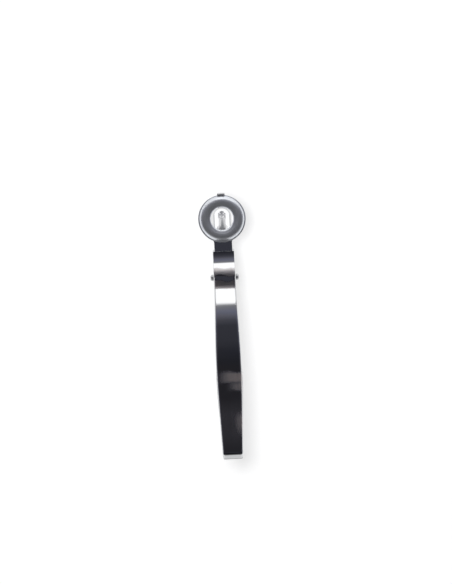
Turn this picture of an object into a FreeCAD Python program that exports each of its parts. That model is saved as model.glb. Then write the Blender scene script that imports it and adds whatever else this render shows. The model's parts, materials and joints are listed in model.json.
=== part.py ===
import FreeCAD, Part
import math
import os

# Olive and cherry pitter of stamped stainless sheet, squeezed in one hand. Two levers cross at a rivet: the
# ring lever runs from the lower handle up to the ring that holds the fruit, and the punch lever runs from the
# upper handle down to the jaw that carries the punch. Squeezing the handles drives the punch up through the
# fruit, and the stone leaves through the hole in the ring. A torsion spring round the rivet opens the tool
# again, until the hood of the punch lever lands on the neck of the ring lever.
#
# Everything is drawn open, about the rivet: X is the rivet's axis, Y points to the ring and Z is up. At the
# end all pieces move together, so that the origin is at the bottom centre of the whole tool. Lengths are in
# mm, angles in degrees, and slopes are measured from the level.

V = FreeCAD.Vector

# ---- driving dimensions -------------------------------------------------------------------------------------
# both levers
SHEET = 1.2                 # sheet thickness
BEND = 0.5                  # inside radius where a flange is folded
OPENING = 28.0              # turn from the open rest position to full squeeze
SIDE_PLAY = 0.1             # play between parts that turn side by side
STOP_GAP = 0.05             # between the hood and the neck when the tool is open

# handles
UPPER_REACH = 110.4         # rear end of the upper handle from the rivet
LOWER_REACH = 113.2         # rear end of the lower handle from the rivet
HANDLE_WIDTH = 15.8         # at the widest place
HANDLE_WIDEST_Y = -50.0
HANDLE_END_WIDTH = 12.5
HANDLE_FLANGE = 3.4         # depth of the folded edges, sheet included
END_FOLD = 2.8              # length of the end of each handle that is folded inward
END_FOLD_SLOPE = 45.0
END_FOLD_R = 2.4            # outside radius of that fold
STEP_Y = -6.0               # where each handle starts to rise from the hub
STEP_SLOPE = 30.0
STEP_R = 6.0                # bend between hub and step
SHOULDER_Y = -20.2          # where the step turns into the handle
SHOULDER_R = 60.0
UPPER_MIDDLE_Y = -48.0      # where the upper handle flattens out
UPPER_FRONT_SLOPE = 12.0
UPPER_REAR_SLOPE = 6.5
UPPER_BOW_R = 200.0
LOWER_FOOT_Y = -82.0        # where the lower handle comes down to the table
LOWER_BOW_R = 90.0

# hub of the punch lever
HUB_WIDTH = 13.6            # outside width over the rivet
HUB_TOP = 10.5              # height of the saddle over the rivet's axis
SADDLE_R = 10.5             # outside radius of the saddle's front bend
HOOD_SLOPE = 27.0           # slope of the hood where it leaves the saddle
HOOD_BEND_Y = 8.2           # where the hood starts to flatten out over the neck
HOOD_BEND_R = 22.0
HOOD_END_SLOPE = 8.0
HOOD_Y = 16.0               # front edge of the hood
HOOD_WIDTH = 12.9
SILL_Z = -6.8               # height of the window's lower edge over the rivet's axis
DROP_SLOPE = 62.0           # slope of the drop from the saddle to the jaw
OUTER_LOBE_R = 6.2          # round of the side walls about the rivet
OUTER_HEEL_R = 2.4          # round where the side walls run out under the handle
OUTER_TOE_R = 2.6           # round where the side walls run out on the jaw
OUTER_HEEL_Y = -17.0
SHOULDER_FRONT_Y = 17.5     # where the side walls end and the jaw begins

# jaw of the punch lever
JAW_NOSE = 16.0             # front end of the jaw from the punch's axis
JAW_LAP = 1.0               # where the jaw's rim starts inside the side walls
JAW_BEND_R = 8.0
JAW_FLANGE = 3.0            # depth of the jaw's folded rim, sheet included

# hub and neck of the ring lever
HUB_BOTTOM = 8.6            # depth of the trough under the rivet's axis
RISER_SLOPE = 80.0          # slope of the trough's front wall
RISER_CLEAR = 1.5           # between the coil and the trough's front wall
TROUGH_R = 3.2              # outside radius of the trough's front corner
RISER_TOP_R = 2.8
EAR_LOBE_R = 4.8            # round of the ears about the rivet
EAR_HEEL_R = 1.8
EAR_HEEL_Y = -14.0
EAR_TOE_R = 1.2
EAR_TOE_Z = -0.5            # height where the ears end on the trough's front wall
WIDENING_Y = -9.0           # where the lower handle starts to widen

# ring
RING_Y = 36.0               # ring centre from the rivet
CUP_SHEET = 0.8
CUP_R = 13.7                # outside radius of the raised ring
CUP_FLANGE_R = 14.6
CUP_SHOULDER_H = 4.0        # height of the raised ring at its edges
CUP_CROWN = 0.9             # rise of the ring's crown over its edges
CUP_CROWN_R = 4.4
CUP_FOOT_R = 0.6
CUP_EDGE_R = 2.9
CUP_ROLL_R = 1.5
HOLE_R = 6.9                # the hole that the stone leaves by
COLLAR_DEPTH = 3.2          # from the ring's edge height down to the end of its collar
EYE_CLEAR = 0.3             # between the cup's inside and the edge of the eye under it
EYE_CORNER_R = 1.5          # where the neck meets the eye
TAB_WIDTH = 4.6             # front tab that is folded over the ring's flange
TAB_LAP = 0.4               # length of the tab over the flange
TAB_BEND = 0.15             # inside radius of the tab's folds
TAB_GAP = 0.05              # between the tab and the flange

# rivet, sleeve and spring
PIN_R = 1.4
PIN_HEAD_R = 1.95
PIN_HEAD_T = 1.9
PIN_HEAD_GAP = 0.05         # between a head and the side wall
PIN_DOME_R = 1.1            # round of the heads' outer edge
RUNNING = 0.06              # radial clearance of a turning fit
RIVETED = 0.02              # radial clearance of a riveted fit
SLEEVE_WALL = 0.7
COIL_GAP = 0.3              # between the sleeve and the coil
WIRE_D = 1.0
COIL_TURNS = 5
COIL_PITCH = 1.12
LEG_LENGTH = 16.0
LEG_SEAT_GAP = 0.15         # between a spring leg and the sheet that it pushes

# punch
PUNCH_R = 2.1
CROWN_R = 2.45              # radius of the biting end
CROWN_L = 5.0
CROWN_TAPER = 1.2           # length of the taper between rod and biting end
CROWN_EDGE = 0.25           # width of the biting edge
CROWN_HOLLOW = 1.8          # depth of the hollow in the biting end
CROWN_NOTCH = 1.1           # width of the four notches in the biting edge
CROWN_NOTCH_DEPTH = 0.9
PUNCH_L = 19.0              # from the jaw's top face to the tip
PUNCH_TIP_Y = 38.5          # where the tip ends at full squeeze
PUNCH_TIP_Z = 10.7
COLLAR_R = 3.4              # collar that seats on the jaw
COLLAR_T = 1.2
TAIL_R = 1.6                # tail that is riveted through the jaw
TAIL_HEAD_R = 2.6
TAIL_HEAD_T = 0.9
TAIL_DOME_R = 0.6

# ---- sizes and places that follow ---------------------------------------------------------------------------
HUB_INSIDE = HUB_WIDTH - 2 * SHEET
NECK_WIDTH = HUB_INSIDE - 2 * SIDE_PLAY
EAR_INSIDE = NECK_WIDTH - 2 * SHEET
FOLD_R = SHEET + BEND
SLEEVE_BORE_R = PIN_R + RUNNING
SLEEVE_R = SLEEVE_BORE_R + SLEEVE_WALL
COIL_MEAN_R = SLEEVE_R + COIL_GAP + WIRE_D / 2
COIL_R = COIL_MEAN_R + WIRE_D / 2
PUNCH_LEAN = OPENING        # forward lean of the open punch, so that it stands upright at full squeeze
FAR = 400.0                 # beyond every piece
TINY = 1e-4


def sloped(degrees, length=1.0):
    """A run of some length in the YZ plane, as (dy, dz), that climbs towards +Y at a slope."""
    return length * math.cos(math.radians(degrees)), length * math.sin(math.radians(degrees))


def meet(p, slope_p, q, slope_q):
    """Where the line through p meets the line through q."""
    py, pz = sloped(slope_p)
    qy, qz = sloped(slope_q)
    along = ((q[0] - p[0]) * qz - (q[1] - p[1]) * qy) / (py * qz - pz * qy)
    return p[0] + along * py, p[1] + along * pz


def beside(point, slope, distance):
    """A point moved square to a slope, to its upper side."""
    dy, dz = sloped(slope + 90, distance)
    return point[0] + dy, point[1] + dz


def turned(point, degrees):
    """A point of the YZ plane turned about the rivet, front end up."""
    c = math.cos(math.radians(degrees))
    s = math.sin(math.radians(degrees))
    return point[0] * c - point[1] * s, point[0] * s + point[1] * c


def slope_between(p, q):
    return math.degrees(math.atan2(q[1] - p[1], q[0] - p[0]))


def offset_corners(corners, distance):
    """The corners of a path shifted to its left by a distance."""
    slopes = [slope_between(p, q) for p, q in zip(corners, corners[1:])]
    shifted = [beside(corners[0], slopes[0], distance)]
    for corner, before, after in zip(corners[1:-1], slopes, slopes[1:]):
        shifted.append(meet(beside(corner, before, distance), before, beside(corner, after, distance), after))
    shifted.append(beside(corners[-1], slopes[-1], distance))
    return shifted


def offset_radii(corners, radii, distance):
    """The bend radii of that shifted path."""
    slopes = [slope_between(p, q) for p, q in zip(corners, corners[1:])]
    turns = [math.copysign(1, math.sin(math.radians(after - before))) for before, after in zip(slopes, slopes[1:])]
    return [radius - turn * distance for radius, turn in zip(radii, turns)]


def path_edges(corners, radii):
    """Straight runs in the YZ plane, joined by arcs, or by a sharp corner where the radius is 0."""
    points = [V(0, y, z) for y, z in corners]
    edges = []
    start = points[0]
    for before, corner, after, radius in zip(points, points[1:], points[2:], radii):
        back = (before - corner).normalize()
        ahead = (after - corner).normalize()
        half = back.getAngle(ahead) / 2
        reach = radius / math.tan(half)
        arc_start = corner + back * reach
        arc_end = corner + ahead * reach
        edges.append(Part.LineSegment(start, arc_start).toShape())
        if radius > 0:
            crown = corner + (back + ahead).normalize() * (radius / math.sin(half) - radius)
            edges.append(Part.Arc(arc_start, crown, arc_end).toShape())
        start = arc_end
    edges.append(Part.LineSegment(start, points[-1]).toShape())
    return edges


def ribbon(corners, radii, thickness):
    """Face between a path and the same path shifted to its left."""
    near = path_edges(corners, radii)
    far = path_edges(offset_corners(corners, thickness), offset_radii(corners, radii, thickness))
    joins = [Part.LineSegment(near[0].Vertexes[0].Point, far[0].Vertexes[0].Point).toShape(),
             Part.LineSegment(near[-1].Vertexes[-1].Point, far[-1].Vertexes[-1].Point).toShape()]
    return Part.Face(Part.Wire(Part.__sortEdges__(near + far + joins)))


def beyond(corners, radii, side):
    """Face between a path and a far level line, above it (side 1) or under it (side -1)."""
    edges = path_edges(corners, radii)
    first = edges[0].Vertexes[0].Point
    last = edges[-1].Vertexes[-1].Point
    first_far = V(0, first.y, side * FAR)
    last_far = V(0, last.y, side * FAR)
    walls = [Part.LineSegment(first, first_far).toShape(),
             Part.LineSegment(first_far, last_far).toShape(),
             Part.LineSegment(last_far, last).toShape()]
    return Part.Face(Part.Wire(Part.__sortEdges__(edges + walls)))


def polygon(points):
    corners = [V(0, y, z) for y, z in points]
    return Part.Face(Part.makePolygon(corners + corners[:1]))


def disc(centre, radius):
    return Part.Face(Part.Wire(Part.makeCircle(radius, V(0, centre[0], centre[1]), V(1, 0, 0))))


def tapered_link(a, radius_a, b, radius_b):
    """Outline of a link between two rounds, with straight sides that touch both."""
    heading = slope_between(a, b)
    spread = math.degrees(math.acos((radius_a - radius_b) / math.hypot(b[0] - a[0], b[1] - a[1])))
    sides = []
    for angle in (heading + spread, heading - spread):
        dy, dz = sloped(angle)
        sides.append(((a[0] + radius_a * dy, a[1] + radius_a * dz), (b[0] + radius_b * dy, b[1] + radius_b * dz)))
    (a_left, b_left), (a_right, b_right) = sides
    return [disc(a, radius_a), disc(b, radius_b), polygon([a_left, b_left, b_right, a_right])]


def across(face, width):
    """A face of the YZ plane given a width along X."""
    return face.translated(V(-width / 2, 0, 0)).extrude(V(width, 0, 0))


def joined_across(faces, width):
    """One solid across the tool from faces of the YZ plane that overlap."""
    slabs = [across(face, width) for face in faces]
    return slabs[0].fuse(slabs[1:]).removeSplitter()


def upright(wire_edges):
    """A closed plan outline in the XY plane made as high as the tool."""
    face = Part.Face(Part.Wire(Part.__sortEdges__(wire_edges)))
    return face.translated(V(0, 0, -FAR)).extrude(V(0, 0, 2 * FAR))


def handle_plan(reach, hub_y, hub_width, front_y, inset):
    """Plan of a lever: a handle that swells and tapers behind hub_y, and a hub of one width up to front_y."""
    end = V(HANDLE_END_WIDTH / 2 - inset, -reach, 0)
    widest = V(HANDLE_WIDTH / 2 - inset, HANDLE_WIDEST_Y, 0)
    hub = V(hub_width / 2 - inset, hub_y, 0)
    front = V(hub.x, front_y, 0)
    taper = V(widest.x - end.x, widest.y - end.y, 0)
    side = Part.BSplineCurve()
    side.interpolate(Points=[end, widest, hub], InitialTangent=taper, FinalTangent=V(0, hub.y - widest.y, 0))
    right = [side.toShape(), Part.LineSegment(hub, front).toShape()]
    left = [edge.mirror(V(0, 0, 0), V(1, 0, 0)) for edge in right]
    ends = [Part.LineSegment(V(-point.x, point.y, 0), point).toShape() for point in (end, front)]
    return right + left + ends


def rounded_block(path, radii, side, plan, fold_radius):
    """Everything above (side 1) or under (side -1) a path within a plan, with its long edges rounded."""
    block = across(beyond(path, radii, side), FAR).common(plan)
    skin = across(Part.Wire(path_edges(path, radii)), FAR)
    folds = []
    for edge in block.Edges:
        middle = edge.valueAt((edge.FirstParameter + edge.LastParameter) / 2)
        if abs(middle.x) > TINY and Part.Vertex(middle).distToShape(skin)[0] < TINY:
            folds.append(edge)
    return block.makeFillet(fold_radius, folds)


def tray(path, radii, side, outer_plan, inner_plan, outline):
    """Folded sheet: its web follows the path, its flanges follow the plan and end at the outline."""
    inner_path = offset_corners(path, side * SHEET)
    inner_radii = offset_radii(path, radii, side * SHEET)
    outside = rounded_block(path, radii, side, outer_plan, FOLD_R)
    inside = rounded_block(inner_path, inner_radii, side, inner_plan, BEND)
    return outside.cut(inside).common(joined_across(outline, FAR))


def revolved(corners, radii):
    """Solid of revolution about Z, from a profile of (radius, height) corners that starts and ends on the axis."""
    edges = path_edges(corners, radii)
    axis = Part.LineSegment(edges[-1].Vertexes[-1].Point, edges[0].Vertexes[0].Point).toShape()
    face = Part.Face(Part.Wire(Part.__sortEdges__(edges + [axis])))
    return face.revolve(V(0, 0, 0), V(0, 0, 1), 360)


def along_rivet(solid):
    """A solid drawn about Z, laid along the rivet's axis."""
    return solid.rotated(V(0, 0, 0), V(0, 1, 0), 90)


def cross_hole(radius):
    """A hole along the rivet's axis."""
    return Part.makeCylinder(radius, FAR, V(-FAR / 2, 0, 0), V(1, 0, 0))


# ---- the punch's line and the paths of both sheets ----------------------------------------------------------
TIP = turned((PUNCH_TIP_Y, PUNCH_TIP_Z), -OPENING)
JAW_SLOPE = -PUNCH_LEAN
SEAT = beside(TIP, JAW_SLOPE, -PUNCH_L)

# upper face of the punch lever, from the rear end of the upper handle to the front end of the jaw
STEP_FOOT = (STEP_Y, HUB_TOP)
UPPER_SHOULDER = meet(STEP_FOOT, -STEP_SLOPE, (SHOULDER_Y, 0), 90)
UPPER_MIDDLE = meet(UPPER_SHOULDER, -UPPER_FRONT_SLOPE, (UPPER_MIDDLE_Y, 0), 90)
UPPER_FOLD = meet(UPPER_MIDDLE, -UPPER_REAR_SLOPE, (END_FOLD - UPPER_REACH, 0), 90)
UPPER_END = meet(UPPER_FOLD, END_FOLD_SLOPE, (-UPPER_REACH, 0), 90)
UPPER_TAIL = meet(UPPER_MIDDLE, -UPPER_REAR_SLOPE, (-UPPER_REACH, 0), 90)
SADDLE_CENTRE = (0.0, HUB_TOP - SADDLE_R)
DROP_TOP = beside(SADDLE_CENTRE, -DROP_SLOPE, SADDLE_R)
SADDLE_CORNER = meet(DROP_TOP, -DROP_SLOPE, STEP_FOOT, 0)
DROP_FOOT = meet(DROP_TOP, -DROP_SLOPE, (SHOULDER_FRONT_Y, 0), 90)
JAW_START = meet(DROP_TOP, -DROP_SLOPE, (SHOULDER_FRONT_Y - JAW_LAP, 0), 90)
JAW_CORNER = meet(DROP_TOP, -DROP_SLOPE, SEAT, JAW_SLOPE)
NOSE_DY, NOSE_DZ = sloped(JAW_SLOPE, JAW_NOSE)
JAW_END = (SEAT[0] + NOSE_DY, SEAT[1] + NOSE_DZ)
UPPER_PATH = [UPPER_END, UPPER_FOLD, UPPER_MIDDLE, UPPER_SHOULDER, STEP_FOOT, SADDLE_CORNER, DROP_FOOT]
UPPER_RADII = [END_FOLD_R, UPPER_BOW_R, SHOULDER_R, STEP_R, SADDLE_R]
UPPER_EDGE_PATH = [UPPER_TAIL] + UPPER_PATH[2:]
UPPER_EDGE_RADII = UPPER_RADII[1:]
JAW_PATH = [JAW_START, JAW_CORNER, JAW_END]
JAW_RADII = [JAW_BEND_R]
HOOD_ROOT = beside(SADDLE_CENTRE, -HOOD_SLOPE, SADDLE_R)
HOOD_TOP = meet(HOOD_ROOT, -HOOD_SLOPE, STEP_FOOT, 0)
HOOD_BEND = meet(HOOD_ROOT, -HOOD_SLOPE, (HOOD_BEND_Y, 0), 90)
HOOD_REACH = HOOD_BEND_R * math.tan(math.radians(HOOD_SLOPE - HOOD_END_SLOPE) / 2)
HOOD_DY, HOOD_DZ = sloped(-HOOD_SLOPE, HOOD_REACH)
HOOD_CORNER = (HOOD_BEND[0] + HOOD_DY, HOOD_BEND[1] + HOOD_DZ)
HOOD_END = meet(HOOD_CORNER, -HOOD_END_SLOPE, (HOOD_Y, 0), 90)
HOOD_PATH = [(0.0, HUB_TOP), HOOD_TOP, HOOD_CORNER, HOOD_END]
HOOD_RADII = [SADDLE_R, HOOD_BEND_R]

# lower face of the ring lever, from the rear end of the lower handle to the ring's centre; the tool stands on
# the lower handle and on the jaw's nose
TABLE_Z = beside(JAW_END, JAW_SLOPE, -JAW_FLANGE)[1]
NECK_TOP = beside(HOOD_END, -HOOD_END_SLOPE, -SHEET)[1] - STOP_GAP
NECK_Z = NECK_TOP - SHEET
RISER_POINT = beside((0, 0), RISER_SLOPE, -COIL_R - RISER_CLEAR - SHEET)
LOWER_FOLD = (END_FOLD - LOWER_REACH, TABLE_Z)
LOWER_END = meet(LOWER_FOLD, -END_FOLD_SLOPE, (-LOWER_REACH, 0), 90)
LOWER_TAIL = (-LOWER_REACH, TABLE_Z)
LOWER_FOOT = (LOWER_FOOT_Y, TABLE_Z)
TROUGH_BACK = (STEP_Y, -HUB_BOTTOM)
LOWER_SHOULDER = meet(TROUGH_BACK, STEP_SLOPE, (SHOULDER_Y, 0), 90)
TROUGH_CORNER = meet(TROUGH_BACK, 0, RISER_POINT, RISER_SLOPE)
EAR_TOE = meet(RISER_POINT, RISER_SLOPE, (0, EAR_TOE_Z), 0)
RISER_TOP = meet(RISER_POINT, RISER_SLOPE, (0, NECK_Z), 0)
OVER_EARS = meet(RISER_POINT, RISER_SLOPE, (0, 2 * EAR_LOBE_R), 0)
NECK_START = meet(RISER_POINT, RISER_SLOPE, (0, EAR_TOE_Z - EAR_TOE_R), 0)
LOWER_PATH = [LOWER_END, LOWER_FOLD, LOWER_FOOT, LOWER_SHOULDER, TROUGH_BACK, TROUGH_CORNER, OVER_EARS]
LOWER_RADII = [END_FOLD_R, LOWER_BOW_R, SHOULDER_R, STEP_R, TROUGH_R]
LOWER_EDGE_PATH = [LOWER_TAIL] + LOWER_PATH[2:5] + [(0, -HUB_BOTTOM)]
LOWER_EDGE_RADII = LOWER_RADII[1:4]
NECK_PATH = [NECK_START, RISER_TOP, (RING_Y, NECK_Z)]
NECK_RADII = [RISER_TOP_R]


# ---- the pieces ---------------------------------------------------------------------------------------------
def punch_lever():
    """Upper handle, saddle over the rivet, window for the ring lever's neck, and jaw."""
    heel = meet(beside(STEP_FOOT, -STEP_SLOPE, OUTER_HEEL_R - HANDLE_FLANGE), -STEP_SLOPE, (OUTER_HEEL_Y, 0), 90)
    toe = meet(beside(DROP_TOP, -DROP_SLOPE, -OUTER_TOE_R), -DROP_SLOPE, (SHOULDER_FRONT_Y - OUTER_TOE_R, 0), 90)
    flange = ribbon(UPPER_EDGE_PATH[:-1] + [beside(toe, -DROP_SLOPE, OUTER_TOE_R)], UPPER_EDGE_RADII,
                    -HANDLE_FLANGE)
    outline = [flange]
    outline += tapered_link((0, 0), OUTER_LOBE_R, heel, OUTER_HEEL_R)
    outline += tapered_link((0, 0), OUTER_LOBE_R, toe, OUTER_TOE_R)
    plans = [upright(handle_plan(UPPER_REACH, 0, HUB_WIDTH, SHOULDER_FRONT_Y, inset)) for inset in (0, SHEET)]
    body = tray(UPPER_PATH, UPPER_RADII, -1, *plans, outline)
    lever = body.fuse(jaw()).cut(window()).fuse(hood())
    lever = lever.cut(cross_hole(PIN_R + RIVETED)).cut(punch_axis(Part.makeCylinder(TAIL_R + RIVETED, FAR,
                                                                                    V(0, 0, -FAR / 2))))
    return lever


def jaw_plan(inset):
    """Plan of the jaw, square to its plate: parallel sides and a round nose."""
    half = HUB_INSIDE / 2 - inset
    nose_y = JAW_END[0] * math.cos(math.radians(JAW_SLOPE)) + JAW_END[1] * math.sin(math.radians(JAW_SLOPE))
    centre_y = nose_y - HUB_INSIDE / 2
    corners = [V(-half, centre_y, 0), V(-half, -FAR, 0), V(half, -FAR, 0), V(half, centre_y, 0)]
    sides = [Part.LineSegment(a, b).toShape() for a, b in zip(corners, corners[1:])]
    nose = Part.Arc(corners[3], V(0, centre_y + half, 0), corners[0]).toShape()
    return upright(sides + [nose]).rotated(V(0, 0, 0), V(1, 0, 0), JAW_SLOPE)


def jaw():
    """Plate under the ring that carries the punch, with a folded rim."""
    rim = ribbon(JAW_PATH, JAW_RADII, -JAW_FLANGE)
    return tray(JAW_PATH, JAW_RADII, -1, jaw_plan(0), jaw_plan(SHEET), [rim])


def hood():
    """Tongue of the saddle that reaches forward over the ring lever's neck."""
    return across(ribbon(HOOD_PATH, HOOD_RADII, -SHEET), HOOD_WIDTH)


def window():
    """Opening in the drop of the punch lever, between the hood and the jaw, that the neck passes through."""
    reach = 2 * SHEET
    root = [beside(SADDLE_CENTRE, -HOOD_SLOPE, radius) for radius in (SADDLE_R - reach, SADDLE_R + reach)]
    foot = meet(DROP_TOP, -DROP_SLOPE, (0, SILL_Z), 0)
    sill = [beside(foot, -DROP_SLOPE, reach), beside(foot, -DROP_SLOPE, -reach)]
    return across(polygon(root + sill), HUB_INSIDE)


def ring_lever():
    """Lower handle, trough under the rivet with its two ears, neck, and the eye that carries the cup."""
    heel = meet(beside(TROUGH_BACK, STEP_SLOPE, HANDLE_FLANGE - EAR_HEEL_R), STEP_SLOPE, (EAR_HEEL_Y, 0), 90)
    toe = beside(EAR_TOE, RISER_SLOPE, EAR_TOE_R)
    flange = ribbon(LOWER_EDGE_PATH, LOWER_EDGE_RADII, HANDLE_FLANGE)
    outline = [flange, polygon([TROUGH_BACK, TROUGH_CORNER, EAR_TOE, (0, 0)])]
    outline += tapered_link((0, 0), EAR_LOBE_R, heel, EAR_HEEL_R)
    outline += tapered_link((0, 0), EAR_LOBE_R, toe, EAR_TOE_R)
    plans = [upright(handle_plan(LOWER_REACH, WIDENING_Y, NECK_WIDTH, RING_Y, inset)) for inset in (0, SHEET)]
    body = tray(LOWER_PATH, LOWER_RADII, 1, *plans, outline)
    neck = across(ribbon(NECK_PATH, NECK_RADII, SHEET), NECK_WIDTH)
    lever = body.fuse(eye(neck)).fuse(tab())
    return lever.cut(cross_hole(SLEEVE_BORE_R))


def eye(neck):
    """The neck with the flat eye that the cup's flange lies on."""
    centre = V(0, RING_Y, NECK_Z)
    plate = neck.fuse(Part.makeCylinder(CUP_FLANGE_R, SHEET, centre)).removeSplitter()
    corner_y = RING_Y - math.sqrt(CUP_FLANGE_R ** 2 - (NECK_WIDTH / 2) ** 2)
    corners = [edge for edge in plate.Edges
               if abs(edge.CenterOfMass.y - corner_y) < TINY and abs(edge.CenterOfMass.x) > TINY]
    plate = plate.makeFillet(EYE_CORNER_R, corners)
    return plate.cut(Part.makeCylinder(CUP_R - CUP_SHEET + EYE_CLEAR, SHEET, centre))


def tab():
    """Front tab of the eye, folded up and back over the cup's flange."""
    front_y = RING_Y + CUP_FLANGE_R + TAB_BEND + SHEET
    top_z = NECK_TOP + CUP_SHEET + TAB_GAP + SHEET
    root = (RING_Y + CUP_R, NECK_Z)
    tip = (RING_Y + CUP_FLANGE_R - TAB_LAP, top_z)
    fold = ribbon([root, (front_y, NECK_Z), (front_y, top_z), tip], [SHEET + TAB_BEND, SHEET + TAB_BEND], SHEET)
    round_front = Part.makeCylinder(front_y - RING_Y, FAR, V(0, RING_Y, -FAR / 2))
    return across(fold, TAB_WIDTH).common(round_front)


def fruit_cup():
    """Pressed ring that holds the fruit: flange, raised ring with a crown, and a collar rolled into the hole."""
    crown_r = (CUP_R + HOLE_R) / 2
    profile = [(CUP_FLANGE_R, CUP_SHEET), (CUP_R, CUP_SHEET), (CUP_R, CUP_SHOULDER_H),
               (crown_r, CUP_SHOULDER_H + CUP_CROWN), (HOLE_R, CUP_SHOULDER_H),
               (HOLE_R, CUP_SHOULDER_H - COLLAR_DEPTH)]
    section = ribbon(profile, [CUP_FOOT_R, CUP_EDGE_R, CUP_CROWN_R, CUP_ROLL_R], CUP_SHEET)
    return section.revolve(V(0, 0, 0), V(0, 0, 1), 360).translated(V(0, RING_Y, NECK_TOP))


def punch_axis(solid):
    """A solid drawn about Z on the level, set on the jaw's seat."""
    return solid.rotated(V(0, 0, 0), V(1, 0, 0), -PUNCH_LEAN).translated(V(0, *SEAT))


def punch():
    """Rod with a collar on the jaw, a tail riveted under it, and a hollow biting end with four notches."""
    under = -SHEET - TAIL_HEAD_T
    profile = [(0, under), (TAIL_HEAD_R, under), (TAIL_HEAD_R, -SHEET), (TAIL_R, -SHEET), (TAIL_R, 0),
               (COLLAR_R, 0), (COLLAR_R, COLLAR_T), (PUNCH_R, COLLAR_T), (PUNCH_R, PUNCH_L - CROWN_L),
               (CROWN_R, PUNCH_L - CROWN_L + CROWN_TAPER), (CROWN_R, PUNCH_L), (CROWN_R - CROWN_EDGE, PUNCH_L),
               (0, PUNCH_L - CROWN_HOLLOW)]
    rod = revolved(profile, [TAIL_DOME_R] + [0] * (len(profile) - 3))
    notch = Part.makeBox(2 * CROWN_R, CROWN_NOTCH, CROWN_NOTCH_DEPTH,
                         V(-CROWN_R, -CROWN_NOTCH / 2, PUNCH_L - CROWN_NOTCH_DEPTH))
    for angle in (45, 135):
        rod = rod.cut(notch.rotated(V(0, 0, 0), V(0, 0, 1), angle))
    return punch_axis(rod)


def pivot_rivet():
    """Rivet through both levers, with a domed head at each side."""
    wall = HUB_WIDTH / 2 + PIN_HEAD_GAP
    end = wall + PIN_HEAD_T
    profile = [(0, -end), (PIN_HEAD_R, -end), (PIN_HEAD_R, -wall), (PIN_R, -wall),
               (PIN_R, wall), (PIN_HEAD_R, wall), (PIN_HEAD_R, end), (0, end)]
    return along_rivet(revolved(profile, [PIN_DOME_R, 0, 0, 0, 0, PIN_DOME_R]))


def spring_sleeve():
    """Spacer on the rivet that keeps the ears apart and carries the spring."""
    length = EAR_INSIDE - 2 * SIDE_PLAY
    tube = Part.makeCylinder(SLEEVE_R, length, V(0, 0, -length / 2))
    return along_rivet(tube.cut(Part.makeCylinder(SLEEVE_BORE_R, length, V(0, 0, -length / 2))))


def leg_slope(hub_height):
    """Slope of a spring leg that leaves the coil and bears with its tip on the step behind the hub."""
    square_y, square_z = sloped(90 - STEP_SLOPE)
    seat = STEP_Y * square_y + hub_height * square_z - SHEET - LEG_SEAT_GAP
    spread = math.atan2(COIL_R, LEG_LENGTH) - math.asin(seat / math.hypot(COIL_R, LEG_LENGTH))
    return STEP_SLOPE - math.degrees(spread)


def torsion_spring():
    """Coil round the sleeve, with a leg under the upper handle and a leg on the lower one."""
    upper = 90 - leg_slope(HUB_TOP)
    lower = leg_slope(HUB_BOTTOM) - 90
    turn = upper - lower + 360 * COIL_TURNS
    length = COIL_PITCH * turn / 360
    helix = Part.makeHelix(COIL_PITCH, length, COIL_MEAN_R)
    section = Part.Wire(Part.makeCircle(WIRE_D / 2, V(COIL_MEAN_R, 0, 0), V(0, 1, 0)))
    spring = Part.Wire(helix.Edges).makePipeShell([section], True, True)
    spring = spring.rotated(V(0, 0, 0), V(0, 0, 1), lower)
    onto_rivet = FreeCAD.Rotation(V(0, 1, 0), V(0, 0, 1), V(1, 0, 0), "XYZ")
    spring = spring.transformed(FreeCAD.Placement(V(-length / 2, 0, 0), onto_rivet).toMatrix())
    for angle, x, heading in ((lower, -length / 2, -1), (upper, length / 2, 1)):
        dy, dz = sloped(angle, COIL_MEAN_R)
        root = V(x, dy, dz)
        away = V(0, -dz, dy) * heading
        spring = spring.fuse(Part.makeSphere(WIRE_D / 2, root))
        spring = spring.fuse(Part.makeCylinder(WIRE_D / 2, LEG_LENGTH, root, away))
        spring = spring.fuse(Part.makeSphere(WIRE_D / 2, root + away.normalize() * LEG_LENGTH))
    return spring


PIECES = {
    "ring_lever": ring_lever(),
    "fruit_cup": fruit_cup(),
    "punch_lever": punch_lever(),
    "punch": punch(),
    "pivot_rivet": pivot_rivet(),
    "spring_sleeve": spring_sleeve(),
    "torsion_spring": torsion_spring(),
}

whole = Part.makeCompound(list(PIECES.values())).optimalBoundingBox(False)
shift = V(-(whole.XMin + whole.XMax) / 2, -(whole.YMin + whole.YMax) / 2, -whole.ZMin)
os.makedirs("parts", exist_ok=True)
for name, solid in PIECES.items():
    solid.translated(shift).exportStep("parts/" + name + ".step")
    print(name, len(solid.Solids), solid.isValid(), round(solid.Volume, 2))
print("size", round(whole.XLength, 3), round(whole.YLength, 3), round(whole.ZLength, 3))
print("rivet's axis at y", round(shift.y, 4), "z", round(shift.z, 4))
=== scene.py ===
"""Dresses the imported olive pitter: steel finishes, softened sheet edges, turned parts, spring and studio.

Two folded levers cross at a rivet. The ring lever carries the pressed cup that holds the fruit, the punch
lever carries the punch, and a coil spring on the rivet opens the tool. All lengths are in metres. +X runs
along the rivet, +Y points from the handles to the ring and +Z is up.
"""

from __future__ import annotations

import json
import logging
import math
from collections.abc import Sequence
from dataclasses import dataclass
from enum import Enum

import bmesh
import bpy
from mathutils import Matrix, Vector
from mathutils.bvhtree import BVHTree
from mathutils.kdtree import KDTree

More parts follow.
